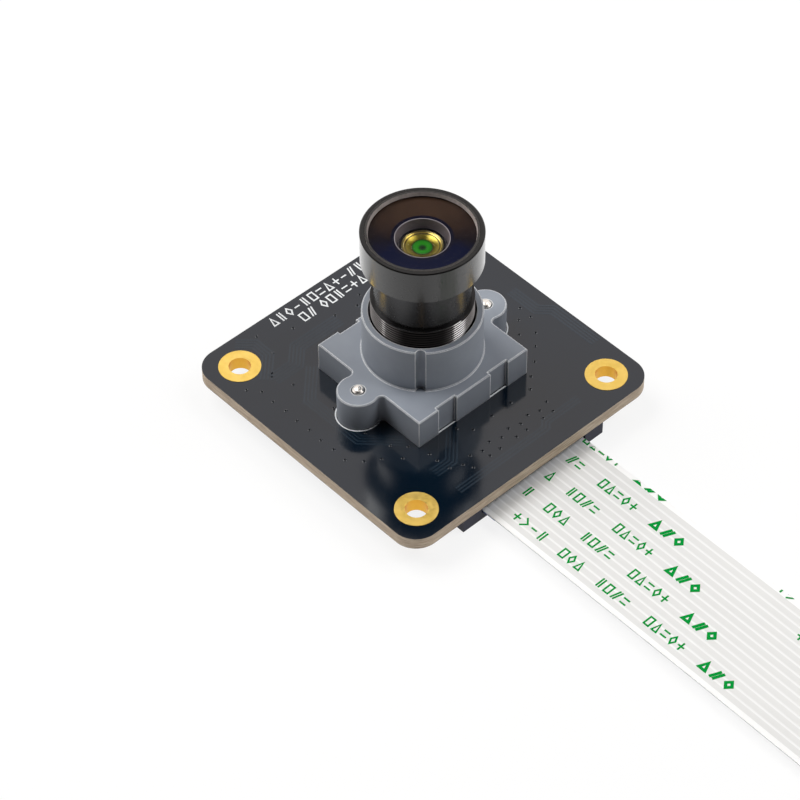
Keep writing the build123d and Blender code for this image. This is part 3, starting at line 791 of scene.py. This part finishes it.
# Plain marks that stand for printing: outlines in a cell of one by one, each closed or open
marks = {
    "square": ((True, ((0, 0), (1, 0), (1, 1), (0, 1))),),
    "diamond": ((True, ((0.5, 0), (1, 0.5), (0.5, 1), (0, 0.5))),),
    "triangle": ((True, ((0, 0), (1, 0), (0.5, 1))),),
    "plus": ((False, ((0.5, 0.1), (0.5, 0.9))), (False, ((0, 0.5), (1, 0.5)))),
    "bars": ((False, ((0.25, 0), (0.25, 1))), (False, ((0.75, 0), (0.75, 1)))),
    "levels": ((False, ((0, 0.2), (1, 0.2))), (False, ((0, 0.8), (1, 0.8)))),
    "arrowhead": ((False, ((0.1, 0), (0.9, 0.5), (0.1, 1))),),
    "slashes": ((False, ((0, 0), (0.5, 1))), (False, ((0.5, 0), (1, 1)))),
    "dash": ((False, ((0.1, 0.5), (0.9, 0.5))),),
}


def print_group(strokes, names, start, direction, up, length, height, width, limits=(-1.0, 1.0)):
    """A word's worth of marks: evenly spaced over a length, those that lie between two limits of X."""
    start, direction, up = Vector(start), Vector(direction), Vector(up)
    step = length / len(names)
    for index, name in enumerate(names):
        corner = start + direction * (index * step + width / 2) + up * width / 2
        if limits[0] < corner.x < limits[1] - step:
            cell = (direction * (step * mark_share - width), up * (height - width))
            strokes.mark(name, corner, *cell, width)


# Lens barrel with its thread

def thread_rings():
    """Rings of points that climb with the thread's turns, from its foot to its collar."""
    turn_rings = len(thread_profile)
    step_up = thread_pitch / turn_rings
    low = barrel_foot + thread_chamfer
    high = shoulder_level - thread_collar
    points = []
    ring_numbers = range(-turn_rings, int((high - low) / step_up) + 2 * turn_rings)
    for ring in ring_numbers:
        for step in range(turned_segments):
            share = step / turned_segments
            level = low + (ring + turn_rings * share) * step_up
            inside = low < level < high
            radius = thread_profile[ring % turn_rings] if inside else thread_crest_radius
            level = min(max(level, low), high)
            points.append((radius * cos(tau * share), radius * sin(tau * share), level))
    return points, len(ring_numbers)


def thread_faces(ring_count):
    """Quads of the thread. A full turn on, each ring has climbed by the rings of one pitch."""
    faces = []
    last = turned_segments - 1
    for ring in range(ring_count - 1):
        here = ring * turned_segments
        there = here + turned_segments
        for step in range(last):
            faces.append((here + step, here + step + 1, there + step + 1, there + step))
        if ring + len(thread_profile) + 1 < ring_count:
            climbed = here + len(thread_profile) * turned_segments
            faces.append((here + last, climbed, climbed + turned_segments, there + last))
    return faces


def dress_barrel():
    """The barrel in one turned mesh: thread, shoulder, neck, head, bore and rear lip."""
    outline = (
        (thread_crest_radius, shoulder_level - thread_collar),
        (thread_crest_radius, shoulder_level),
        (neck_radius, shoulder_level),
        (neck_radius, head_foot),
        (head_radius - head_chamfer, head_foot),
        (head_radius, head_foot + head_chamfer),
        (head_radius, front_level - head_chamfer),
        (head_radius - head_chamfer, front_level),
        (pocket_radius, front_level),
        (pocket_radius, pocket_floor),
        (bore_radius, pocket_floor),
        (bore_radius, lip_top),
        (lip_radius, lip_top),
        (lip_radius, barrel_foot),
        (thread_crest_radius - thread_chamfer, barrel_foot),
        (thread_crest_radius, barrel_foot + thread_chamfer),
    )
    vertices, ring_count = thread_rings()
    faces = thread_faces(ring_count)
    first = len(vertices)
    for radius, level in outline:
        vertices += ring_of_points(radius, level, turned_segments)
    faces += faces_between_rings(len(outline), turned_segments, first)
    barrel = new_piece("threaded_barrel", vertices, faces, finishes["barrel_black"], "lens", weld=True)
    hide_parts("lens_barrel")


def dress_glass_ink():
    """The ring of ink on the front glass's back, and the band round its edge."""
    back = front_glass_back + glass_ink_gap
    face = back + glass_ink_rise
    outline = (
        (front_bowl_radius, back),
        (front_bowl_radius, face),
        (glass_ink_radius - glass_ink_rise, face + glass_ink_slope_rise),
        (glass_ink_radius - glass_ink_rise, front_glass_rim - glass_ink_gap),
        (glass_ink_radius, front_glass_rim - glass_ink_gap),
        (glass_ink_radius, back),
        (front_bowl_radius, back),
    )
    vertices = []
    for radius, level in outline:
        vertices += ring_of_points(radius, level, turned_segments)
    faces = faces_between_rings(len(outline), turned_segments)
    ink = new_piece("glass_ink", vertices, faces, glass_ink_finish(), "lens", weld=True)


# Screw tips

def dress_screw_tips():
    """A bright dome on each screw's tip, where it stands above its ear."""
    vertices, faces = [], []
    foot = screw_top - screw_tip_rise
    for place in screw_places:
        first = len(vertices)
        for ring in range(dome_rings):
            lean = dome_span * ring / (dome_rings - 1)
            radius = screw_tip_radius * cos(lean)
            level = foot + (screw_tip_rise + dome_lift) * sin(lean)
            vertices += ring_of_points(radius, level, dome_segments, place)
        faces += faces_between_rings(dome_rings, dome_segments, first)
        last_ring = first + (dome_rings - 1) * dome_segments
        faces.append(tuple(last_ring + step for step in range(dome_segments)))
    tips = new_piece("screw_tips", vertices, faces, finishes["screw_steel"], "board_assembly", 50)


# Flat cable

def cable_line():
    """Points along the cable's smooth centreline, from the spline that its route controls."""
    curve = bpy.data.curves.new("cable_line", "CURVE")
    curve.dimensions = "3D"
    curve.resolution_u = 16
    spline = curve.splines.new("NURBS")
    spline.points.add(len(cable_route) - 1)
    for point, (distance, height) in zip(spline.points, cable_route):
        point.co = (latch_front + distance * MM, 0.0, height * MM, 1.0)
    spline.order_u = 3
    spline.use_endpoint_u = True
    line = bpy.data.objects.new("cable_line", curve)
    mesh = bpy.data.meshes.new_from_object(line)
    points = [vertex.co.copy() for vertex in mesh.vertices]
    bpy.data.objects.remove(line)
    bpy.data.meshes.remove(mesh)
    bpy.data.curves.remove(curve)
    return points


def level_along(points):
    """A function that gives the centreline's height at a distance along X."""
    def level_at(place):
        for before, after in zip(points, points[1:]):
            if place <= after.x:
                share = (place - before.x) / (after.x - before.x)
                return before.z + share * (after.z - before.z)
        return points[-1].z
    return level_at


def cable_section(ridge):
    """Half the cable's outline, from one edge to the other: a place across it and a height."""
    outline = [(-cable_width / 2, 0.0)]
    for conductor in range(conductor_count):
        middle = (conductor - (conductor_count - 1) / 2) * conductor_pitch
        half = conductor_width / 2
        outline += [(middle - half - ridge_slope, 0.0), (middle - half, ridge),
                    (middle + half, ridge), (middle + half + ridge_slope, 0.0)]
    outline.append((cable_width / 2, 0.0))
    return outline


def dress_cable(points):
    """The flat cable: films laid over fifteen conductors, and bared at both ends."""
    film_start = points[0].x + bare_end_length
    film_end = points[-1].x - bare_end_length
    places = sorted([point.x for point in points] + [film_start - weld_distance, film_start,
                                                     film_end, film_end + weld_distance])
    level_at = level_along(points)
    vertices = []
    for place in places:
        ridge = conductor_ridge if film_start <= place <= film_end else 0.0
        section = cable_section(ridge)
        level = level_at(place)
        for across, height in section:
            vertices.append((place, across, level + cable_thickness / 2 + height))
        for across, height in reversed(section):
            vertices.append((place, across, level - cable_thickness / 2 - height))
    count = 2 * len(cable_section(0.0))
    faces = faces_between_rings(len(places), count)
    faces.append(tuple(range(count)))
    faces.append(tuple(range(len(vertices) - count, len(vertices))))
    cable = new_piece("flat_cable", vertices, faces, finishes["cable_film"], "board_assembly")
    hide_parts("ribbon_cable")
    return cable


# Groups of marks in a row of print, in millimetres: where each starts, how long it is, its marks,
# and whether they are bold
print_groups = (
    (0.0, 5.3, ("plus", "arrowhead", "dash", "bars"), False),
    (7.4, 3.7, ("square", "diamond", "triangle"), False),
    (13.2, 4.8, ("bars", "square", "slashes", "levels"), False),
    (20.6, 5.9, ("square", "triangle", "levels", "diamond", "plus"), False),
    (28.7, 5.2, ("triangle", "slashes", "diamond"), True),
)


def dress_cable_print(points):
    """Rows of green marks on top of the cable. The last row runs off its edge."""
    level_at = level_along(points)
    top = cable_thickness / 2 + conductor_ridge
    strokes = Strokes(lambda place: level_at(place) + top, print_rise, side_limit=cable_width / 2)
    print_start = board_half - print_inset
    print_end = points[-1].x - bare_end_length
    for row in range(print_row_count):
        foot = print_first_row + row * print_row_pitch - print_height / 2
        for repeat in print_repeats:
            for offset, length, names, bold in print_groups:
                start = print_first_start + row * print_row_step + repeat * print_period + offset * MM
                width = print_bold_stroke if bold else print_stroke
                print_group(strokes, names, (start, foot), (1, 0), (0, 1), length * MM,
                            print_height, width, (print_start, print_end))
    return strokes.piece("cable_print", finishes["cable_print"], "board_assembly")


# Board print, copper and vias

# Rows of the legend, in millimetres: where each stands across the board and where it starts along
# it, how long it is, and its marks
legend_rows = (
    (-17.0, -7.85, 15.99, ("triangle", "bars", "diamond", "dash", "bars", "square", "levels",
                           "triangle", "plus", "dash", "slashes", "bars", "square")),
    (-15.2, -4.65, 2.5, ("square", "slashes")),
    (-15.2, -1.5, 7.2, ("diamond", "square", "bars", "levels", "plus", "triangle")),
)


def dress_legend():
    """White marks in two rows along one edge, rings round the ears and lines under the recesses."""
    strokes = Strokes(lambda place: board_top, legend_rise)
    for across, along, length, names in legend_rows:
        print_group(strokes, names, (across * MM, along * MM), (0, 1), (-1, 0), length * MM,
                    legend_height, legend_stroke)
    for screw_place in screw_places:
        ring = ring_of_points(ear_ring_radius, 0.0, ear_ring_segments, screw_place)
        strokes.path([point[:2] for point in ring], ear_ring_stroke, closed=True)
    for x in (-recess_line_x, recess_line_x):
        for middle in recess_middles:
            ends = ((x, middle - recess_line_half), (x, middle + recess_line_half))
            strokes.path(ends, recess_line_stroke)
    legend = strokes.piece("board_legend", finishes["board_legend"], "board_assembly")


def dress_traces():
    """Bundles of copper tracks under the mask, which turn at 45 degrees."""
    bundles = (
        (4, ((-9.6, -9.4), (-5.7, -13.3), (3.2, -13.3), (7.0, -9.5))),
        (5, ((-13.6, -1.6), (-13.6, -8.4), (-11.6, -10.4), (-11.6, -13.4))),
        (4, ((-17.6, -13.4), (-16.2, -12.0), (-14.4, -12.0), (-11.8, -14.6))),
        (4, ((8.9, -4.6), (11.8, -7.5), (11.8, -9.8))),
        (3, ((-11.9, 1.5), (-11.9, 5.2), (-9.2, 7.9))),
        (4, ((-2.2, 15.9), (2.2, 15.9), (3.6, 17.3), (10.4, 17.3))),
        (3, ((16.6, -9.6), (16.6, 4.2), (15.9, 4.9), (15.9, 9.9))),
    )
    strokes = Strokes(lambda place: board_top, trace_rise)
    for count, corners in bundles:
        line = [Vector(corner) * MM for corner in corners]
        for track in range(count):
            strokes.path(beside(line, track * trace_pitch), trace_width)
    copper = strokes.piece("board_tracks", finishes["board_copper"], "board_assembly")


def via_places():
    """Places of the vias on the board's face, in millimetres."""
    places = [(13.3 + 0.45 * (row % 2), 7.0 - 1.52 * row) for row in range(10)]
    places += [(14.85, 6.5 - 2.1 * row + 0.5 * (row % 2)) for row in range(7)]
    places += [(-10.2 + 2.05 * column, -15.75 - 0.12 * (column % 2)) for column in range(8)]
    places += [(10.6, 3.9), (10.6, 0.9), (10.65, -2.15), (9.3, -3.4), (10.65, 7.0), (9.25, 8.5)]
    places += [(7.85, 10.45)]
    places += [(0.45, 15.3), (2.35, 15.2), (1.75, 13.8), (4.6, 13.8), (3.5, 12.2), (6.15, 12.25)]
    places += [(13.1, -8.1), (11.3, -8.35), (10.0, -8.3), (7.55, -9.3), (8.4, -10.95), (6.05, -10.65)]
    places += [(2.7, -11.4), (6.85, -12.75), (5.8, -14.45), (-2.6, -11.5), (-8.6, -12.4), (-14.0, -10.7)]
    places += [(-17.3, -10.4), (-15.4, -6.4), (-13.6, -1.4), (-13.0, 1.6), (-14.15, 3.0), (-11.6, -16.9)]
    return places


def dress_vias():
    """Small vias covered by the mask: a raised ring round a dark disc, the painted shade of the pit."""
    profile = ((1.0, 0.0), (0.85, 0.7), (0.7, 1.0), (0.55, 0.8),
               (via_pit_radius / via_radius, via_pit_lift))
    vertices, faces = [], []
    pit_shade_vertices, pit_shade_faces = [], []
    for x, y in via_places():
        centre = (x * MM, y * MM)
        first = len(vertices)
        for share, lift in profile:
            level = board_top + lift * via_rise
            vertices += ring_of_points(share * via_radius, level, via_segments, centre)
        faces += faces_between_rings(len(profile), via_segments, first)
        # A flat dark disc at the pit's floor: painted shade
        first = len(pit_shade_vertices)
        pit_shade_level = board_top + via_pit_lift * via_rise
        pit_shade_vertices += ring_of_points(via_pit_radius, pit_shade_level, via_segments, centre)
        pit_shade_faces.append(tuple(range(first, first + via_segments)))
    vias = new_piece("board_vias", vertices, faces, finishes["board"], "board_assembly", 60)
    pit_shades = new_piece("board_via_pit_shades", pit_shade_vertices, pit_shade_faces, finishes["via_pit_shade"], "board_assembly")


# Floor, light and camera

def add_floor():
    """A plain white floor that keeps a shadow, and is clear when seen from below."""
    look = Finish("studio_floor", Roughness=0.9)
    cloud = look.noise(0.2)
    look.drive("Base Color", look.shades(cloud, (0.93, 0.93, 0.93), (0.95, 0.95, 0.95)))
    paper = look.add("ShaderNodeEmission", {"Color": (1.0, 1.0, 1.0, 1.0), "Strength": 1.0}).outputs[0]
    whiteness = look.math("MULTIPLY", look.looking_ray(), floor_whiteness)
    mixed = look.add("ShaderNodeMixShader", {0: whiteness, 1: look.shader.outputs[0], 2: paper}).outputs[0]
    below = look.add("ShaderNodeNewGeometry").outputs["Backfacing"]
    clear = look.add("ShaderNodeBsdfTransparent").outputs[0]
    one_sided = look.add("ShaderNodeMixShader", {0: below, 1: mixed, 2: clear}).outputs[0]
    look.tree.links.new(one_sided, look.tree.nodes["Material Output"].inputs["Surface"])
    half = floor_side / 2
    mesh = bpy.data.meshes.new("studio_floor")
    corners = [(-half, -half, floor_level), (half, -half, floor_level),
               (half, half, floor_level), (-half, half, floor_level)]
    mesh.from_pydata(corners, [], [(0, 1, 2, 3)])
    mesh.materials.append(look.material)
    floor = bpy.data.objects.new("studio_floor", mesh)
    bpy.context.scene.collection.objects.link(floor)


def direction(azimuth, elevation):
    """A unit vector towards a place round the object, at azimuth 0 on the -Y side."""
    turn, lift = radians(azimuth), radians(elevation)
    return Vector((sin(turn) * cos(lift), -cos(turn) * cos(lift), sin(lift)))


def add_softbox(name, azimuth, elevation, distance, width, height, strength, colour):
    """A rectangular lamp that faces the board. Strength is the brightness of its face."""
    lamp = bpy.data.lights.new(name, "AREA")
    lamp.shape = "RECTANGLE"
    lamp.size = width
    lamp.size_y = height
    lamp.energy = strength * width * height * pi
    lamp.color = colour
    box = bpy.data.objects.new(name, lamp)
    towards = direction(azimuth, elevation)
    box.location = towards * distance
    box.rotation_euler = towards.to_track_quat("Z", "Y").to_euler()
    bpy.context.scene.collection.objects.link(box)


def add_world():
    """Faint light from all round. The camera sees it white, and reflections see a pale studio that
    is dark on one side.
    """
    world = bpy.data.worlds.new("studio")
    world.use_nodes = True
    sky = Shading(world.node_tree)
    background = sky.tree.nodes["Background"]
    towards = sky.add("ShaderNodeTexCoord").outputs["Generated"]
    nearness = sky.vector_math("DOT_PRODUCT", towards, direction(*dark_side))["Value"]
    studio = sky.spread(nearness, 1.0, dark_side_level, cos(radians(dark_side_outer)),
                        cos(radians(dark_side_inner)))
    studio = sky.math("MAXIMUM", studio, sky.camera_ray())
    strength = sky.spread(sky.looking_ray(), world_light, 1.0, 0.0, 1.0)
    sky.tree.links.new(sky.math("MULTIPLY", strength, studio), background.inputs["Strength"])
    tone = sky.blend(sky.camera_ray(), studio_tone, (1.0, 1.0, 1.0))
    sky.tree.links.new(tone, background.inputs["Color"])
    bpy.context.scene.world = world


def add_camera():
    """A camera that stands where the photograph's did, with no shift."""
    back = direction(camera_azimuth, camera_elevation)
    turn, roll = radians(camera_azimuth), radians(camera_roll)
    level_right = Vector((cos(turn), sin(turn), 0.0))
    level_up = back.cross(level_right)
    right = level_right * cos(roll) + level_up * sin(roll)
    up = level_up * cos(roll) - level_right * sin(roll)
    lens = bpy.data.cameras.new("photo_camera")
    lens.sensor_width = camera_sensor
    lens.lens = camera_lens
    lens.clip_start = 0.01
    camera = bpy.data.objects.new("photo_camera", lens)
    place = (Vector((0.0, 0.0, board_top)) + back * camera_distance + right * camera_slide_right
             + up * camera_slide_up)
    camera.matrix_world = Matrix.Translation(place) @ Matrix((right, up, back)).transposed().to_4x4()
    bpy.context.scene.collection.objects.link(camera)
    bpy.context.scene.camera = camera


add_camera()
route_points = cable_line()
flat_cable = dress_cable(route_points)
cable_ink = dress_cable_print(route_points)
dress_barrel()
dress_glass_ink()
dress_screw_tips()
dress_legend()
dress_traces()
dress_vias()
add_floor()
add_world()
for softbox in softboxes:
    add_softbox(*softbox)

scene = bpy.context.scene
scene.view_settings.view_transform = "Standard"
